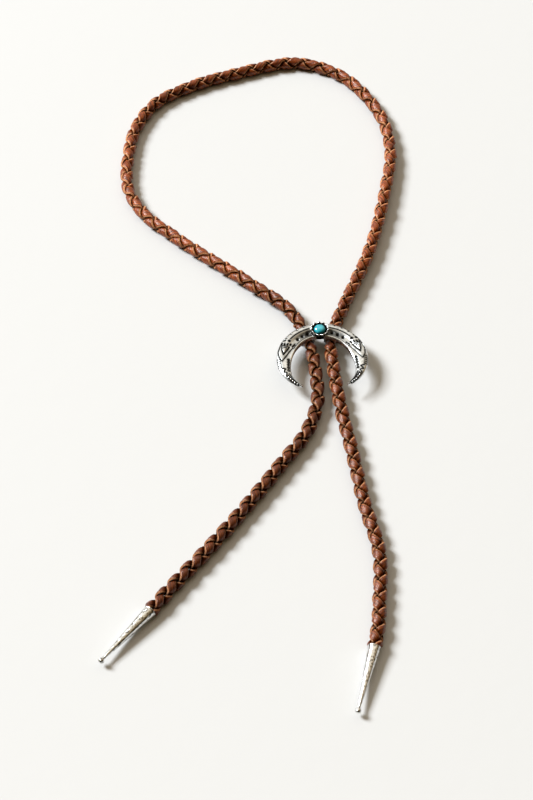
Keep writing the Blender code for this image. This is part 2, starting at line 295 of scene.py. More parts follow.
# Camera, in metres and degrees
CAMERA_AIM = (-0.0281, -0.0199, 0.0)
CAMERA_OFFSET = (-0.0360, -0.5719, 0.7026)
CAMERA_TILT = 39.2
CAMERA_TURN = -3.6
CAMERA_LENS_MM = 85
CAMERA_FILM_MM = 36


def srgb(code):
    """An sRGB hex colour as linear red, green, blue and alpha."""
    channels = [int(code[start:start + 2], 16) / 255 for start in (1, 3, 5)]
    linear = [c / 12.92 if c <= 0.04045 else ((c + 0.055) / 1.055) ** 2.4 for c in channels]
    return (*linear, 1.0)


def add_node(tree, kind, settings=None, links=None):
    """A node with its properties and sockets set, and its sockets fed by other nodes' outputs."""
    added = tree.nodes.new(kind)
    for name, value in (settings or {}).items():
        if isinstance(name, str) and hasattr(added, name):
            setattr(added, name, value)
        else:
            added.inputs[name].default_value = value
    for name, source in (links or {}).items():
        tree.links.new(source, added.inputs[name])
    return added


def new_material(name, roughness, metallic=0.0):
    """A material with its shader's uniform values set, and its node tree and shader."""
    material = bpy.data.materials.new(name)
    material.use_nodes = True
    tree = material.node_tree
    shader = tree.nodes["Principled BSDF"]
    shader.inputs["Roughness"].default_value = roughness
    shader.inputs["Metallic"].default_value = metallic
    return material, tree, shader


def set_ramp(ramp, stops):
    """Colour stops on a ramp node, as (position, sRGB hex)."""
    elements = ramp.color_ramp.elements
    while len(elements) < len(stops):
        elements.new(0.5)
    for element, (position, code) in zip(elements, stops):
        element.position = position
        element.color = srgb(code)


def add_tone(tree, share, stops):
    """A colour picked from the stops by a share between 0 and 1."""
    tone = add_node(tree, "ShaderNodeValToRGB", None, {"Fac": share})
    set_ramp(tone, stops)
    return tone.outputs["Color"]


def add_bump(tree, shader, strength, distance, height):
    """Fine relief on the shader's surface."""
    bump = add_node(
        tree, "ShaderNodeBump", {"Strength": strength, "Distance": distance}, {"Height": height}
    )
    tree.links.new(bump.outputs["Normal"], shader.inputs["Normal"])


def colour_worn_and_shaded(tree, shader, tone, crease_shade_factor, gain):
    """Colours the shader: the tone with painted shade in the creases, made paler or darker along the cord
    by wear and painted light.
    """
    wear_and_painted_light = add_node(tree, "ShaderNodeAttribute", {"attribute_name": "wear_and_painted_light"})
    rubbed_and_lit = add_node(
        tree, "ShaderNodeMath", {"operation": "MULTIPLY_ADD", 1: gain, 2: 0.95}, {0: wear_and_painted_light.outputs["Fac"]}
    )
    painted_light_and_wear = add_node(
        tree, "ShaderNodeMath", {"operation": "MULTIPLY"}, {0: crease_shade_factor, 1: rubbed_and_lit.outputs[0]}
    )
    shaded = add_node(
        tree, "ShaderNodeVectorMath", {"operation": "SCALE"}, {0: tone, "Scale": painted_light_and_wear.outputs[0]}
    )
    tree.links.new(shaded.outputs[0], shader.inputs["Base Color"])


def waxed_leather():
    """Cowhide lace, dyed red-brown and waxed: cloudy colour, with painted shade and a duller gloss where
    it dives.
    """
    material, tree, shader = new_material("waxed brown cowhide", 0.34)
    shader.inputs["Specular Tint"].default_value = srgb("#FFE9DC")
    lie = add_node(tree, "ShaderNodeTexCoord")
    # Streaks 4 mm long and 0.8 mm wide, pulled along the lace
    along = add_node(tree, "ShaderNodeMapping", {"Scale": (230, 15, 1)}, {"Vector": lie.outputs["UV"]})
    streaks = add_node(
        tree, "ShaderNodeTexNoise", {"Scale": 1.0, "Detail": 5.0, "Roughness": 0.65},
        {"Vector": along.outputs[0]},
    )
    dye = [(0.34, "#250901"), (0.5, "#672906"), (0.68, "#9D4B12")]
    # Painted shade darkens the lace where it goes under the next, and its gloss fades there
    depth = add_node(tree, "ShaderNodeAttribute", {"attribute_name": "depth"})
    crease_shade_factor = add_node(
        tree, "ShaderNodeMapRange", {"From Min": 0.12, "From Max": 0.6, "To Min": 1.0, "To Max": 0.18},
        {"Value": depth.outputs["Fac"]},
    )
    colour_worn_and_shaded(tree, shader, add_tone(tree, streaks.outputs["Fac"], dye), crease_shade_factor.outputs["Result"], 0.5)
    wax = add_node(
        tree, "ShaderNodeMapRange", {"From Min": 0.1, "From Max": 0.45, "To Min": 0.55, "To Max": 0.0},
        {"Value": depth.outputs["Fac"]},
    )
    tree.links.new(wax.outputs["Result"], shader.inputs["Specular IOR Level"])
    # Creases and grain, drawn coarser than real ones so that they show
    grain = add_node(
        tree, "ShaderNodeTexVoronoi", {"Scale": 2200.0}, {"Vector": lie.outputs["Object"]}
    )
    height = add_node(
        tree, "ShaderNodeMath", {"operation": "ADD"},
        {0: grain.outputs["Distance"], 1: streaks.outputs["Fac"]},
    )
    add_bump(tree, shader, 0.5, 0.2 * MM, height.outputs[0])
    return material


def cut_leather():
    """The lace's cut side: undyed fibres, pale and dry."""
    material, tree, shader = new_material("pale cut cowhide edge", 0.8)
    shader.inputs["Specular IOR Level"].default_value = 0.15
    lie = add_node(tree, "ShaderNodeTexCoord")
    fibres = add_node(
        tree, "ShaderNodeTexNoise", {"Scale": 1400.0, "Detail": 3.0}, {"Vector": lie.outputs["Object"]}
    )
    undyed = [(0.3, "#76482D"), (0.5, "#A7704A"), (0.7, "#C49069")]
    # Painted shade darkens the cut side where the lace goes under the next; wear and painted light along
    # the cord make it paler or darker too
    depth = add_node(tree, "ShaderNodeAttribute", {"attribute_name": "depth"})
    crease_shade_factor = add_node(
        tree, "ShaderNodeMapRange", {"From Min": 0.2, "From Max": 0.6, "To Min": 1.0, "To Max": 0.2},
        {"Value": depth.outputs["Fac"]},
    )
    colour_worn_and_shaded(tree, shader, add_tone(tree, fibres.outputs["Fac"], undyed), crease_shade_factor.outputs["Result"], 0.35)
    return material


def oxidised_silver():
    """Cast sterling silver, blackened with sulphide and polished back: bright heights, dark depths."""
    material, tree, shader = new_material("oxidised sterling silver", 0.2, metallic=1.0)
    depth = add_node(tree, "ShaderNodeAttribute", {"attribute_name": "blackening"})
    lie = add_node(tree, "ShaderNodeTexCoord")
    # Stains a few millimetres wide break up the polish
    stains = add_node(
        tree, "ShaderNodeTexNoise", {"Scale": 420.0, "Detail": 5.0}, {"Vector": lie.outputs["Object"]}
    )
    spread = add_node(
        tree, "ShaderNodeMapRange", {"From Min": 0.35, "From Max": 0.75, "To Min": -0.06, "To Max": 0.26},
        {"Value": stains.outputs["Fac"]},
    )
    black = add_node(
        tree, "ShaderNodeMath", {"operation": "ADD", "use_clamp": True},
        {0: depth.outputs["Fac"], 1: spread.outputs["Result"]},
    )
    bright_to_black = [(0.0, "#EEF0F1"), (0.35, "#A3A4A1"), (0.7, "#33312D"), (1.0, "#0F0E0C")]
    tree.links.new(add_tone(tree, black.outputs[0], bright_to_black), shader.inputs["Base Color"])
    dull = add_node(
        tree, "ShaderNodeMapRange", {"To Min": 0.19, "To Max": 0.6}, {"Value": black.outputs[0]}
    )
    tree.links.new(dull.outputs["Result"], shader.inputs["Roughness"])
    # Casting skin and polishing marks, about 0.4 mm wide
    skin = add_node(
        tree, "ShaderNodeTexNoise", {"Scale": 2600.0, "Detail": 3.0}, {"Vector": lie.outputs["Object"]}
    )
    add_bump(tree, shader, 0.3, 0.03 * MM, skin.outputs["Fac"])
    return material


def planished_silver():
    """Sterling sheet rolled to a cone and planished: small soft hammer faces under a bright polish."""
    material, tree, shader = new_material("planished sterling silver", 0.17, metallic=1.0)
    lie = add_node(tree, "ShaderNodeTexCoord")
    # Hammer faces about 1 mm wide, with finer dents in them
    faces = add_node(
        tree, "ShaderNodeTexNoise", {"Scale": 1000.0, "Detail": 3.0, "Roughness": 0.6},
        {"Vector": lie.outputs["Object"]},
    )
    # The base colour runs from dark grey to near white across the hammer faces: oxide in the dents and
    # painted dark and bright reflections
    tone = add_tone(tree, faces.outputs["Fac"], [(0.38, "#77736B"), (0.48, "#EAEAE8")])
    tree.links.new(tone, shader.inputs["Base Color"])
    add_bump(tree, shader, 0.6, 0.4 * MM, faces.outputs["Fac"])
    return material


def turquoise_stone():
    """Turquoise, cut as a cabochon and polished: opaque sky blue, cloudy, with a waxy gloss."""
    material, tree, shader = new_material("polished turquoise", 0.16)
    shader.inputs["IOR"].default_value = 1.61
    shader.inputs["Coat Weight"].default_value = 0.6
    shader.inputs["Coat Roughness"].default_value = 0.06
    lie = add_node(tree, "ShaderNodeTexCoord")
    clouds = add_node(
        tree, "ShaderNodeTexNoise", {"Scale": 480.0, "Detail": 5.0, "Distortion": 0.6},
        {"Vector": lie.outputs["Object"]},
    )
    tone = add_tone(tree, clouds.outputs["Fac"], [(0.28, "#0B6A70"), (0.5, "#1F98A4"), (0.72, "#4BB9C0")])
    tree.links.new(tone, shader.inputs["Base Color"])
    return material


def rolled_silver_in_painted_shade():
    """Sterling strip from the rolling mill, bent, its satin face painted dark as the shade under the
    crescent.
    """
    material, tree, shader = new_material("rolled sterling strip", 0.4, metallic=1.0)
    # The dark base colour is painted shade for the strip hidden under the crescent
    shader.inputs["Base Color"].default_value = srgb("#6E6A63")
    lie = add_node(tree, "ShaderNodeTexCoord")
    # Rolling marks 0.1 mm apart along the strip
    along = add_node(
        tree, "ShaderNodeMapping", {"Scale": (400, 9000, 9000)}, {"Vector": lie.outputs["Object"]}
    )
    marks = add_node(tree, "ShaderNodeTexNoise", {"Scale": 1.0}, {"Vector": along.outputs[0]})
    add_bump(tree, shader, 0.15, 0.02 * MM, marks.outputs["Fac"])
    return material


def painted_board():
    """White painted board: a broad, faint unevenness and no gloss."""
    material, tree, shader = new_material("white painted board", 0.85)
    shader.inputs["Base Color"].default_value = srgb("#C6C5C2")
    lie = add_node(tree, "ShaderNodeTexCoord")
    uneven = add_node(
        tree, "ShaderNodeTexNoise", {"Scale": 90.0, "Detail": 6.0}, {"Vector": lie.outputs["Object"]}
    )
    add_bump(tree, shader, 0.1, 0.6 * MM, uneven.outputs["Fac"])
    return material


def finished_piece(name, shape, materials, smooth_degrees=40):
    """The bmesh as a piece of the object, smooth where it turns gently."""
    mesh = bpy.data.meshes.new(name)
    shape.to_mesh(mesh)
    shape.free()
    for material in materials:
        mesh.materials.append(material)
    mesh.shade_smooth()
    mesh.set_sharp_from_angle(angle=math.radians(smooth_degrees))
    piece = bpy.data.objects.new(name, mesh)
    bpy.context.scene.collection.objects.link(piece)
    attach(piece, "root")
    return piece


def flat_grid(shape, along_steps, around_steps):
    """A new grid in the bmesh: its vertices, and each one's shares along and around it."""
    made = bmesh.ops.create_grid(
        shape, x_segments=along_steps, y_segments=around_steps, size=0.5, calc_uvs=True
    )["verts"]
    flat = np.array([vert.co.xy for vert in made])
    shares = (flat - flat.min(0)) / (flat.max(0) - flat.min(0))
    return made, shares[:, 0], shares[:, 1]


def move_to(verts, places):
    for vert, place in zip(verts, places):
        vert.co = place


def close_grid(shape):
    """Joins a rolled grid along its seam, closes its open ends and turns its faces outwards."""
    bmesh.ops.remove_doubles(shape, verts=shape.verts, dist=WELD_DISTANCE)
    open_edges = [edge for edge in shape.edges if edge.is_boundary]
    bmesh.ops.holes_fill(shape, edges=open_edges, sides=0)
    bmesh.ops.recalc_face_normals(shape, faces=shape.faces)


def from_table(table, share):
    """The table's second column where its first has the given shares."""
    columns = np.array(table)
    return np.interp(share, columns[:, 0], columns[:, 1])


def smooth_step(low, high, value):
    share = np.clip((value - low) / (high - low), 0, 1)
    return share * share * (3 - 2 * share)


def tip_frame(tip):
    """The mouth's centre and the unit vector from it to the ball."""
    across, along, heading = tip
    turn = math.radians(heading)
    mouth = Vector((across, along, CORD_DIAMETER / 2 + OFF_TABLE))
    return mouth, Vector((math.cos(turn), math.sin(turn), 0))


def grip_stretch(side, strap_place, grip_height):
    """The straight run through the strap on one side, from the tail to the loop."""
    middle = Vector((side * CHANNEL_PLACE, strap_place, grip_height))
    along = Vector((side * math.sin(CHANNEL_SLANT), math.cos(CHANNEL_SLANT), 0))
    return [middle - along * GRIP_LENGTH / 2, middle + along * GRIP_LENGTH / 2]


def free_stretch(points):
    return [Vector((x, y, z + CORD_DIAMETER / 2 + OFF_TABLE)) for x, y, z in points]


def cord_route():
    """The route's points, and the places among them where the cord is gripped."""
    low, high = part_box("slide_strap")
    strap_place = (low.y + high.y) / 2
    crescent_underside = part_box("crescent")[0].z
    grip_height = crescent_underside - 0.3 * MM - GRIPPED_DIAMETER / 2
    left_mouth, left_outward = tip_frame(LEFT_TIP)
    right_mouth, right_outward = tip_frame(RIGHT_TIP)
    left_grip = grip_stretch(-1, strap_place, grip_height)
    right_grip = grip_stretch(1, strap_place, grip_height)[::-1]
    route = [
        left_mouth + left_outward * IN_TIP, left_mouth, left_mouth - left_outward * 3 * MM,
        *free_stretch(LEFT_TAIL), *left_grip, *free_stretch(NECK_LOOP), *right_grip,
        *free_stretch(RIGHT_TAIL),
        right_mouth - right_outward * 3 * MM, right_mouth, right_mouth + right_outward * IN_TIP,
    ]
    return route, left_grip + right_grip


class Centreline:
    """A smooth curve through the route, read by the length along it from the left end."""

    def __init__(self, route):
        ahead = [after - before for before, after in zip(route, route[1:])]
        slopes = [ahead[0].normalized()]
        for before, after in zip(ahead, ahead[1:]):
            lean = before.normalized() * after.length + after.normalized() * before.length
            slopes.append(lean.normalized())
        slopes.append(ahead[-1].normalized())
        points = [route[0]]
        for index, chord in enumerate(ahead):
            third = chord.length / 3
            points += interpolate_bezier(
                route[index], route[index] + slopes[index] * third,
                route[index + 1] - slopes[index + 1] * third, route[index + 1],
                max(3, round(chord.length / (0.5 * MM))),
            )[1:]
        self.points = np.array(points)
        gaps = np.linalg.norm(np.diff(self.points, axis=0), axis=1)
        self.lengths = np.concatenate([[0], np.cumsum(gaps)])
        self.length = self.lengths[-1]

    def at(self, along):
        """Places, and unit vectors up and to the right of the way ahead, as rows."""
        places = self._read(along)
        ahead = self._read(along + 0.5 * MM) - self._read(along - 0.5 * MM)
        ahead /= np.linalg.norm(ahead, axis=1)[:, None]
        right = np.cross(ahead, (0, 0, 1))
        right /= np.linalg.norm(right, axis=1)[:, None]
        return places, np.cross(right, ahead), right

    def _read(self, along):
        along = np.clip(along, 0, self.length)
        return np.stack([np.interp(along, self.lengths, self.points[:, i]) for i in range(3)], 1)

    def nearest(self, place):
        return self.lengths[np.argmin(np.linalg.norm(self.points - np.array(place), axis=1))]

    def wound(self, along):
        """How far a lace has turned about the cord, as an angle."""
        pace = math.tau / (from_table(LACE_TURN, self.lengths / self.length) * MM)
        turned = np.concatenate([[0], np.cumsum((pace[1:] + pace[:-1]) / 2 * np.diff(self.lengths))])
        return np.interp(along, self.lengths, turned)


def braid_scale(line, grips, along):
    """The braid's thickness along the cord, as a share: less in the strap and inside the tips."""
    scale = np.ones_like(along)
    for start, end in zip(grips[::2], grips[1::2]):
        low, high = sorted((line.nearest(start), line.nearest(end)))
        held = smooth_step(low - GRIP_EASE, low, along) - smooth_step(high, high + GRIP_EASE, along)
        scale -= held * (1 - GRIPPED_SHARE)
    from_end = np.minimum(along, line.length - along)
    tucked = 1 - smooth_step(IN_TIP - 0.1 * MM, IN_TIP + 0.5 * MM, from_end)
    socket = TUCKED_SHARE + TUCKED_GAIN * np.clip(from_end / IN_TIP, 0, 1)
    flare = FLARE_SHARE * np.exp(-((from_end - IN_TIP - FLARE_PLACE) / FLARE_LENGTH) ** 2)
    return (scale + flare) * (1 - tucked) + socket * tucked


def jitter(along, seed, wavelength):
    """Smooth noise from about -1 to 1 along the cord, the seed one number or one for each place."""
    seeds = np.broadcast_to(seed, along.shape)
    return np.array([noise.noise(Vector((s / wavelength, row, 0.5))) for s, row in zip(along, seeds)])


def uneven(kind, along, seed):
    size, wavelength = kind
    return size * jitter(along, seed, wavelength)


def climb(phase, starts_over):
    """How high a lace rides, from under (-1) to over (1), steep between the two."""
    swing = CLIMB_LIMIT * phase / np.sqrt(phase * phase + CLIMB_SOFTNESS)
    return swing if starts_over else -swing


def mark_lace(shape, verts, depth, wear_and_painted_light, seed):
    """Stores how deep the lace lies, how rubbed it is together with its painted light, its two cut sides,
    and streaks of its own.
    """
    deep, rubbed_and_lit = (shape.verts.layers.float[name] for name in ("depth", "wear_and_painted_light"))
    for vert, down, painted_light_and_wear in zip(verts, depth, wear_and_painted_light):
        vert[deep] = down
        vert[rubbed_and_lit] = painted_light_and_wear
    lie = shape.loops.layers.uv.active
    for face in {face for vert in verts for face in vert.link_faces}:
        step = min(loop[lie].uv.y for loop in face.loops)
        face.material_index = int(round(step * len(LACE_SECTION)) in CUT_EDGE_STEPS)
        for loop in face.loops:
            loop[lie].uv.x += seed


def add_lace(shape, line, grips, hand, number):
    """One lace, winding right (hand 1) or left (hand -1) and woven with the two of the other hand."""
    steps = round(line.length / LACE_STEP)
    verts, along_share, around_share = flat_grid(shape, steps, len(LACE_SECTION))
    corner = np.round(around_share * len(LACE_SECTION)).astype(int) % len(LACE_SECTION)
    across, outward = np.array(LACE_SECTION)[corner].T
    start = along_share * line.length
    slant = np.arctan(math.tau * LACE_REACH / (from_table(LACE_TURN, along_share) * MM))
    seed = 3.7 * number + 1.9 * hand
    ragged = uneven(EDGE_SWAY, start, seed) + uneven(EDGE_FRAY, start, seed + 5 + 2 * np.sign(across))
    # Wear along the cord, which in the colour is also painted light
    wear_and_painted_light = from_table(WEAR_AND_PAINTED_LIGHT, along_share)
    offset = across * LACE_WIDTH / 2 * (1 + ragged + WEAR_WIDENS * wear_and_painted_light)
    along = np.clip(start - hand * offset * np.sin(slant), 0, line.length)
    turned = np.radians(from_table(BRAID_TURNED, along_share))
    turn = hand * line.wound(start) + math.pi * number + turned
    turn += uneven(LACE_DRIFT, start, seed + 11)
    beside = offset * np.cos(slant)
    phase = np.cos(turn + beside / LACE_REACH + hand * line.wound(along) - turned)
    over = climb(phase, starts_over=(number == 0) == (hand > 0))
    flatness = FLATNESS + FLATNESS_SWING * over
    radius = LACE_MIDDLE + LACE_WAVE * (1 - WEAR_FLATTENS * wear_and_painted_light) * over + outward * LACE_THICKNESS / 2
    radius += uneven(LACE_LIFT, start, seed + 23) + beside * uneven(LACE_TILT, start, seed + 31)
    radius += uneven(LACE_LUMPS, start, seed + 41 + 0.7 * corner)
    turn += (1 - flatness) * beside / LACE_REACH
    places, up, right = line.at(along)
    cosine, sine = np.cos(turn)[:, None], np.sin(turn)[:, None]
    out, aside = cosine * up + sine * right, cosine * right - sine * up
    scale = braid_scale(line, grips, along)[:, None]
    places += scale * (radius[:, None] * out + (flatness * beside)[:, None] * aside)
    places[:, 2] = np.maximum(places[:, 2], OFF_TABLE)
    move_to(verts, places)
    mark_lace(shape, verts, (0.5 - 0.5 * over) * (1 - WEAR_EASES_CREASE_SHADE * wear_and_painted_light), wear_and_painted_light, seed)


def braided_cord(leather, cut):
    """The whole cord as four woven laces, and the centreline it follows."""
    route, grips = cord_route()
    line = Centreline(route)
    shape = bmesh.new()
    shape.loops.layers.uv.new("UVMap")
    for name in ("depth", "wear_and_painted_light"):
        shape.verts.layers.float.new(name)
    for hand in (1, -1):
        for number in (0, 1):
            add_lace(shape, line, grips, hand, number)
    close_grid(shape)
    cord = finished_piece("braided_cord", shape, [leather, cut], 50)
    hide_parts("cord")
    return cord, line


def turned_profile(shape, profile, steps):
    """Spins (radius, height) points about +Z and welds what meets."""
    points = [shape.verts.new((radius, 0, height)) for radius, height in profile]
    edges = [shape.edges.new(pair) for pair in zip(points, points[1:])]
    bmesh.ops.spin(
        shape, geom=points + edges, cent=(0, 0, 0), axis=(0, 0, 1), angle=math.tau, steps=steps,
        use_merge=True,
    )
    bmesh.ops.remove_doubles(shape, verts=shape.verts, dist=WELD_DISTANCE)
    bmesh.ops.recalc_face_normals(shape, faces=shape.faces)


def arc(centre, radius, start, end, count):
    """(radius, height) points on a round stretch of a turned profile."""
    steps = [start + (end - start) * step / (count - 1) for step in range(count)]
    return [(centre[0] + radius * math.cos(a), centre[1] + radius * math.sin(a)) for a in steps]


def cone_tip(name, tip, silver):
    """A hollow cone with a rolled rim at its mouth, a collar, a neck and a ball."""
    def cone(depth):
        return TIP_MOUTH + (TIP_CONE_END - TIP_MOUTH) * depth / TIP_CONE_LENGTH

    plain_length = TIP_CONE_LENGTH - TIP_RIM_LENGTH
    walls = [TIP_RIM_LENGTH + plain_length * row / TIP_CONE_ROWS for row in range(TIP_CONE_ROWS + 1)]
    collar = TIP_CONE_LENGTH
    neck_end = collar + TIP_NECK_END
    meet = math.asin(TIP_NECK / TIP_BALL)
    ball_centre = neck_end + TIP_BALL * math.cos(meet)
    profile = [
        (0, TIP_SOCKET),
        (cone(TIP_SOCKET) - TIP_WALL, TIP_SOCKET),
        (cone(0.6 * MM) - TIP_WALL, 0.6 * MM),
        (TIP_MOUTH - TIP_WALL, 0.1 * MM),
        *arc((TIP_MOUTH - TIP_RIM + TIP_RIM_PROUD, TIP_RIM), TIP_RIM, -2.4, 0.9, 9),
        (cone(0.75 * MM) - 0.02 * MM, 0.75 * MM),
        *[(cone(depth), depth) for depth in walls],
        (0.62 * MM, collar + 0.06 * MM),
        *arc((TIP_COLLAR_OUT, collar + 0.28 * MM), TIP_COLLAR, -1.3, 1.3, 7),
        (TIP_NECK, collar + 0.55 * MM),
        *arc((0, ball_centre), TIP_BALL, meet - math.pi / 2, math.pi / 2, 22)[:-1],
        (0, ball_centre + TIP_BALL),
    ]
    shape = bmesh.new()
    turned_profile(shape, profile, 56)
    mouth, outward = tip_frame(tip)
    turn = Matrix.Rotation(math.atan2(outward.y, outward.x), 4, "Z")
    lay_down = Matrix.Rotation(math.pi / 2, 4, "Y")
    bmesh.ops.transform(shape, matrix=Matrix.Translation(mouth) @ turn @ lay_down, verts=shape.verts)
    piece = finished_piece(f"{name}_cone", shape, [silver], 50)
    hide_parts(name)
    return piece


class Band:
    """The crescent's band, placed by the CAD node's box."""

    def __init__(self):
        low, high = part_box("crescent")
        self.radius = high.x
        self.centre = high.y - high.x
        self.underside = low.z
        self.top = low.z + BAND_HEIGHT

    def taper(self, angle):
        share = np.clip(np.abs(angle) / HORN_ANGLE, 0, 1)
        return (1 + np.cos(math.pi * share ** TAPER_POWER)) / 2

    def width(self, angle):
        return HORN_WIDTH + (BAND_WIDTH - HORN_WIDTH) * self.taper(angle)

    def height(self, angle):
        return HORN_HEIGHT + (BAND_HEIGHT - HORN_HEIGHT) * self.taper(angle)

    def hollow(self, angle):
        """How far the horns' back is let in, above the crown's flat back."""
        return HORN_BACK_LET_IN * smooth_step(HORN_BACK_FROM, HORN_BACK_TO, np.abs(angle))

    def plan(self, angle, across):
        """The place in plan at a share of the width from the outer edge."""
        turned_in = HORN_TURN_IN * (1 - self.taper(angle)) ** HORN_TURN_IN_POWER
        radius = self.radius - turned_in - self.width(angle) * across
        return np.stack([radius * np.sin(angle), self.centre + radius * np.cos(angle)], -1)

    def rise(self, angle, across):
        """The plain top's share of the height, from the crown's section to the horns'."""
        crown, horn = from_table(CROWN_PROFILE, across), from_table(HORN_PROFILE, across)
        blend = smooth_step(HORN_PROFILE_FROM, HORN_PROFILE_TO, np.abs(angle))
        return crown + (horn - crown) * blend


class Relief:
    """Cuts and raised work on the band's top, on both halves alike, with the blackening left in it."""

    def __init__(self, band, angle, across):
        self.band = band
        self.degrees = np.degrees(np.abs(angle))
        self.across = across
        self.plan = band.plan(np.abs(angle), across)
        self.height = np.zeros_like(across)
        self.black = np.zeros_like(across)

    def place(self, degrees, across):
        return self.band.plan(np.radians(np.array(degrees, float)), across)

    def from_spot(self, degrees, across):
        """How far each point is from one place on the band."""
        return np.linalg.norm(self.plan - self.place(degrees, across), axis=1)

    def from_stroke(self, *corners):
        """How far each point is from a line through places on the band."""
        nearest = np.full(len(self.across), np.inf)
        for start, end in zip(corners, corners[1:]):
            first, last = self.place(*start), self.place(*end)
            along = last - first
            share = np.clip((self.plan - first) @ along / (along @ along), 0, 1)
            gap = np.linalg.norm(self.plan - first - share[:, None] * along, axis=1)
            nearest = np.minimum(nearest, gap)
        return nearest

    def cut(self, gap, half_width, depth, black=1.0):
        """Sinks what lies nearer than the half width and blackens it, fading out round about."""
        half_width = CUT_WIDENED * half_width
        inside = 1 - smooth_step(half_width - CUT_LIP_INSIDE, half_width + CUT_LIP_OUTSIDE, gap)
        stained = STAIN * (1 - smooth_step(half_width, half_width + STAIN_REACH, gap))
        self.height -= inside * depth * CUT_DEEPENED
        self.black = np.maximum(self.black, np.maximum(inside, stained) * black)

    def dimple(self, gap, radius, depth):
        """A drilled bowl: bright at its lip, black at its bottom."""
        share = np.clip(gap / radius, 0, 1)
        self.height -= depth * (1 - share ** 2)
        self.black = np.maximum(self.black, 1 - smooth_step(0.42, 0.85, share))

    def bead(self, gap, radius, height):
        """A raised bead, polished on top, with dirt round its foot."""
        share = np.clip(gap / radius, 0, 1)
        self.height += height * np.sqrt(1 - share ** 2)
        self.black = np.where(share < 0.75, 0, self.black)


def engrave_crown(relief):
    """Between the stone and the shoulders: rim dots, two grooves and a row of dimples."""
    ridge_groove = [(15 + 3.5 * step, 0.37) for step in range(11)]
    relief.cut(relief.from_stroke(*ridge_groove), 0.19 * MM, 0.4 * MM)
    bead_groove = [(12 + 4 * step, 0.865) for step in range(14)]
    relief.cut(relief.from_stroke(*bead_groove), 0.13 * MM, 0.2 * MM, 0.8)
    # The channel beside the stone is darkened, fading towards the shoulders: patina in the hollow and
    # painted dark reflection
    beside_stone = 1 - smooth_step(24, 62, relief.degrees)
    in_channel = smooth_step(0.42, 0.52, relief.across) * (1 - smooth_step(0.8, 0.9, relief.across))
    relief.black = np.maximum(relief.black, 0.62 * beside_stone * in_channel)
    for degrees in (21.3, 31.5, 42, 51.5):
        relief.cut(relief.from_spot(degrees, 0.13), 0.28 * MM, 0.25 * MM)
    for degrees in (11, 21.5, 32, 42.5):
        relief.dimple(relief.from_spot(degrees, 0.67), 1.0 * MM, 0.7 * MM)


def engrave_shoulder(relief):
    """Two deep holes and a row of notches across the band."""
    for degrees, across in ((54.3, 0.40), (56.5, 0.13)):
        relief.cut(relief.from_spot(degrees, across), 0.56 * MM, 0.6 * MM)
    for degrees, across in ((59, 0.58), (61.3, 0.44), (62.8, 0.28), (63.4, 0.12)):
        notch = relief.from_stroke((degrees - 1, across), (degrees + 1.2, across))
        relief.cut(notch, 0.30 * MM, 0.35 * MM)
    relief.cut(relief.from_stroke((54, 0.78), (61, 0.74)), 0.30 * MM, 0.2 * MM, 0.8)


def engrave_arrow(relief):
    """A leaf inside two nested borders that meet towards the horn."""
    outer_border = ((60, 0.04), (78, 0.07), (87, 0.16), (94.5, 0.36), (87, 0.57), (76, 0.70), (63, 0.80))
    relief.cut(relief.from_stroke(*outer_border), 0.15 * MM, 0.3 * MM)
    inner_border = ((65.5, 0.16), (74, 0.26), (82.5, 0.42), (74, 0.55), (64.5, 0.60))
    relief.cut(relief.from_stroke(*inner_border), 0.20 * MM, 0.32 * MM)
    rim_side, inner_side, leaf_middle = 0.19, 0.57, 0.42
    relief.cut(relief.from_stroke((66, rim_side), (65, inner_side)), 0.14 * MM, 0.25 * MM)
    for share in (0.3, 0.5, 0.7):
        base = rim_side + (inner_side - rim_side) * share
        vein = relief.from_stroke((66.5, base), (70, base + 0.3 * (leaf_middle - base)))
        relief.cut(vein, 0.11 * MM, 0.2 * MM, 0.9)
    relief.bead(relief.from_stroke((70.5, leaf_middle), (77.5, leaf_middle)), 0.55 * MM, 0.3 * MM)


def engrave_horn(relief):
    """Below the arrow: a comb, a column of rings, a zigzag, a row of beads and a long groove."""
    for degrees in (90.5, 93.8, 97.1, 100.4, 103.7):
        relief.cut(relief.from_stroke((degrees, 0.05), (degrees, 0.25)), 0.17 * MM, 0.35 * MM)
    for degrees, across in ((92, 0.80), (97.2, 0.82), (102.4, 0.82), (107.6, 0.80), (112.8, 0.77)):
        relief.cut(relief.from_spot(degrees, across), 0.58 * MM, 0.25 * MM)
        relief.bead(relief.from_spot(degrees, across), 0.40 * MM, 0.3 * MM)
        relief.cut(relief.from_spot(degrees, across), 0.14 * MM, 0.3 * MM)
    zigzag = [(106 + 3.3 * step, 0.52 if step % 2 else 0.22) for step in range(6)]
    relief.cut(relief.from_stroke(*zigzag), 0.20 * MM, 0.35 * MM)
    relief.cut(relief.from_stroke((121, 0.36), (131, 0.34), (140.5, 0.32)), 0.62 * MM, 0.3 * MM)
    for step in range(6):
        relief.bead(relief.from_spot(119.5 + 4 * step, 0.34 - 0.01 * step), 0.55 * MM, 0.45 * MM)
    relief.cut(relief.from_stroke((119, 0.72), (130, 0.74), (139, 0.70)), 0.20 * MM, 0.4 * MM)


def band_section():
    """Round the band's section: each corner's share of the width and of the top's height."""
    outer = [(0, step / OUTER_WALL_STEPS) for step in range(OUTER_WALL_STEPS)]
    top = [(step / TOP_STEPS, 1) for step in range(TOP_STEPS + 1)]
    under = [(1 - step / UNDERSIDE_STEPS, 0) for step in range(1, UNDERSIDE_STEPS)]
    return np.array(outer + top + list(INNER_WALL) + under, float)


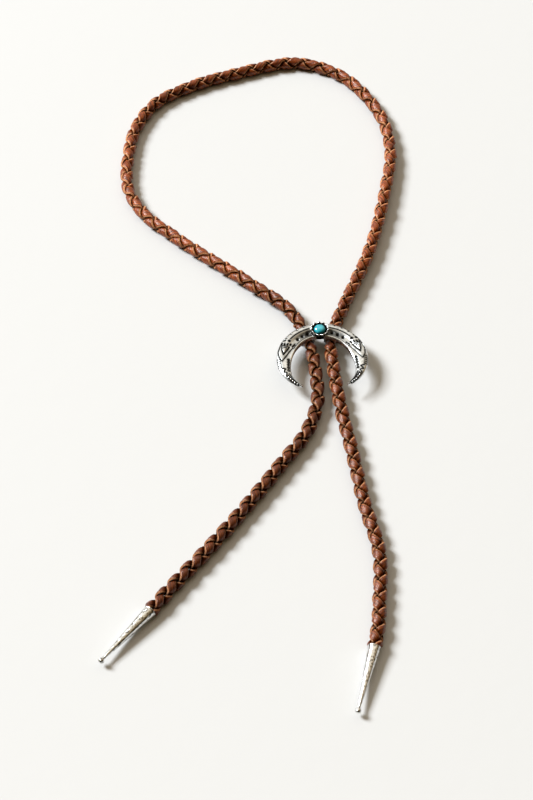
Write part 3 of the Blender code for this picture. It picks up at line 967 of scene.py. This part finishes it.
def cast_crescent(silver):
    """The band with its relief, rolled from one fine grid, its horns rounded off at the ends."""
    band = Band()
    section = band_section()
    shape = bmesh.new()
    shape.loops.layers.uv.new("UVMap")
    blackening = shape.verts.layers.float.new("blackening")
    verts, along_share, around_share = flat_grid(shape, BAND_STATIONS, len(section))
    corner = np.round(around_share * len(section)).astype(int) % len(section)
    across, rise = section[corner].T
    on_top = (corner >= OUTER_WALL_STEPS) & (corner <= OUTER_WALL_STEPS + TOP_STEPS)
    angle = HORN_ANGLE * (2 * along_share - 1)
    relief = Relief(band, angle, across)
    for engrave in (engrave_crown, engrave_shoulder, engrave_arrow, engrave_horn):
        engrave(relief)
    top = band.height(angle) * band.rise(angle, across) + np.where(on_top, relief.height, 0)
    to_end = (HORN_ANGLE - np.abs(angle)) * band.radius
    roundness = np.sqrt(1 - (1 - np.clip(to_end / HORN_ROUNDED, 0.03, 1)) ** 2)
    plan = band.plan(angle, 0.5 + (across - 0.5) * roundness)
    back = band.hollow(angle)
    middle = (HORN_HEIGHT + back) / 2
    height = middle + (back + (top - back) * rise - middle) * roundness
    move_to(verts, np.column_stack([plan, band.underside + height]))
    grooved = (across > 0.96) & (across < 0.99)
    off_top = np.where(grooved, DEEP_BLACKENING, PLAIN_BLACKENING)
    for vert, black in zip(verts, np.where(on_top, relief.black, off_top)):
        vert[blackening] = black
    close_grid(shape)
    piece = finished_piece("cast_crescent", shape, [silver], 60)
    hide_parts("crescent")
    return band


def crown_setting(band, silver):
    """A scalloped cup, its wall waved into lobes that lean on the stone between them."""
    low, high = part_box("cabochon")
    centre = (low + high) / 2
    shape = bmesh.new()
    shape.loops.layers.uv.new("UVMap")
    blackening = shape.verts.layers.float.new("blackening")
    verts, around_share, down_share = flat_grid(shape, SETTING_STEPS, len(SETTING_PROFILE) - 1)
    row = np.round(down_share * (len(SETTING_PROFILE) - 1)).astype(int)
    mean, depth, height = np.array(SETTING_PROFILE)[row].T
    turn = math.tau * around_share
    lobe = np.cos(SETTING_LOBES * turn)
    radius = mean + depth * lobe
    level = band.top + height + SETTING_WAVE * lobe * depth / SETTING_LOBE_DEPTH
    move_to(verts, np.column_stack([
        centre.x + radius * np.sin(turn), centre.y + radius * np.cos(turn), level,
    ]))
    for vert, index, wave in zip(verts, row, lobe):
        if index < SETTING_FOOT_ROWS:
            vert[blackening] = 0.9
        elif index < SETTING_FLUTED_ROWS:
            vert[blackening] = DEEP_BLACKENING * (0.5 - 0.5 * wave)
        elif index > SETTING_LEDGE_ROW:
            vert[blackening] = 1.0
        else:
            vert[blackening] = 0.7 if index == SETTING_LEDGE_ROW else 0.0
    close_grid(shape)
    piece = finished_piece("crown_setting", shape, [silver], 60)
    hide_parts("crescent")


def domed_stone(turquoise):
    """The cabochon: a straight girdle under a smooth dome, a little flattened on top."""
    low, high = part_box("cabochon")
    centre, radius = (low + high) / 2, (high.x - low.x) / 2
    dome = high.z - low.z - STONE_GIRDLE
    profile = [(0, 0), (radius * STONE_FOOT_SHARE, 0), (radius, STONE_FOOT_BEVEL)]
    for step in range(STONE_STEPS):
        turn = math.pi / 2 * step / STONE_STEPS
        profile.append((radius * math.cos(turn) ** STONE_FULLNESS, STONE_GIRDLE + dome * math.sin(turn)))
    profile.append((0, STONE_GIRDLE + dome))
    shape = bmesh.new()
    turned_profile(shape, profile, 72)
    bmesh.ops.translate(shape, vec=(centre.x, centre.y, low.z), verts=shape.verts)
    piece = finished_piece("turquoise_cabochon", shape, [turquoise], 50)
    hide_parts("cabochon")


def table_top(board):
    shape = bmesh.new()
    bmesh.ops.create_grid(shape, x_segments=1, y_segments=1, size=3)
    mesh = bpy.data.meshes.new("table_top")
    shape.to_mesh(mesh)
    shape.free()
    mesh.materials.append(board)
    table = bpy.data.objects.new("table_top", mesh)
    bpy.context.scene.collection.objects.link(table)


def soft_light(name, azimuth, elevation, distance, size, power, colour):
    """A square lamp that faces the slide from an azimuth, seen from above, and an elevation."""
    turn, rise = math.radians(azimuth), math.radians(elevation)
    away = Vector((math.cos(turn) * math.cos(rise), math.sin(turn) * math.cos(rise), math.sin(rise)))
    lamp = bpy.data.lights.new(name, "AREA")
    lamp.size = size
    lamp.energy = power
    lamp.color = srgb(colour)[:3]
    holder = bpy.data.objects.new(name, lamp)
    holder.location = away * distance
    holder.rotation_euler = away.to_track_quat("Z", "Y").to_euler()
    bpy.context.scene.collection.objects.link(holder)


def pale_room():
    """The light from the room: pale high up beyond the table, dark low down and behind the camera."""
    world = bpy.data.worlds.new("room")
    world.use_nodes = True
    tree = world.node_tree
    way = add_node(tree, "ShaderNodeTexCoord")
    # How nearly each way looks 40 degrees up beyond the table
    nearness = add_node(
        tree, "ShaderNodeVectorMath", {"operation": "DOT_PRODUCT", 1: (0, 0.76, 0.65)},
        {0: way.outputs["Generated"]},
    )
    light = add_tone(tree, nearness.outputs["Value"], [
        (0.0, "#2A2415"), (0.3, "#6E5C40"), (0.6, "#B29E80"), (0.85, "#E5DCCC"), (1.0, "#E6E1D7"),
    ])
    tree.links.new(light, tree.nodes["Background"].inputs["Color"])
    # It reaches lower down on the right than on the left
    upward = add_node(
        tree, "ShaderNodeVectorMath", {"operation": "DOT_PRODUCT", 1: (0.1, 0, 1)},
        {0: way.outputs["Generated"]},
    )
    strength = add_node(
        tree, "ShaderNodeMapRange", {"From Max": 0.46, "To Min": 0.08, "To Max": 1.3},
        {"Value": upward.outputs["Value"]},
    )
    tree.links.new(strength.outputs["Result"], tree.nodes["Background"].inputs["Strength"])
    return world


def studio():
    """A pale table, one soft key from the upper left, and a dim room around it."""
    table_top(painted_board())
    soft_light(
        "key", azimuth=152, elevation=39.5, distance=10.0, size=3.2, power=2095, colour="#F2F8FF",
    )
    bpy.context.scene.world = pale_room()


def camera():
    lens = bpy.data.cameras.new("camera")
    lens.lens = CAMERA_LENS_MM
    lens.sensor_width = CAMERA_FILM_MM
    lens.clip_start = 0.01
    holder = bpy.data.objects.new("camera", lens)
    holder.location = Vector(CAMERA_AIM) + Vector(CAMERA_OFFSET)
    holder.rotation_euler = (math.radians(CAMERA_TILT), 0, math.radians(CAMERA_TURN))
    bpy.context.scene.collection.objects.link(holder)
    bpy.context.scene.camera = holder


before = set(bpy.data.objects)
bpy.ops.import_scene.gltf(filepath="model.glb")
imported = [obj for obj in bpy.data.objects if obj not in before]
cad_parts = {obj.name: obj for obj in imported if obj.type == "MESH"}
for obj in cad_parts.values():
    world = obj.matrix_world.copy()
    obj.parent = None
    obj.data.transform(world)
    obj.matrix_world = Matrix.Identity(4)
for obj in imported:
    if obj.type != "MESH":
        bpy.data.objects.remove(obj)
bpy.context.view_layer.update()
bpy.context.scene.view_settings.view_transform = "Standard"

camera()
studio()
cord, line = braided_cord(waxed_leather(), cut_leather())
planished = planished_silver()
tips = [cone_tip("left_tip", LEFT_TIP, planished), cone_tip("right_tip", RIGHT_TIP, planished)]
cast = oxidised_silver()
band = cast_crescent(cast)
crown_setting(band, cast)
domed_stone(turquoise_stone())
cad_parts["slide_strap"].data.materials.clear()
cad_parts["slide_strap"].data.materials.append(rolled_silver_in_painted_shade())
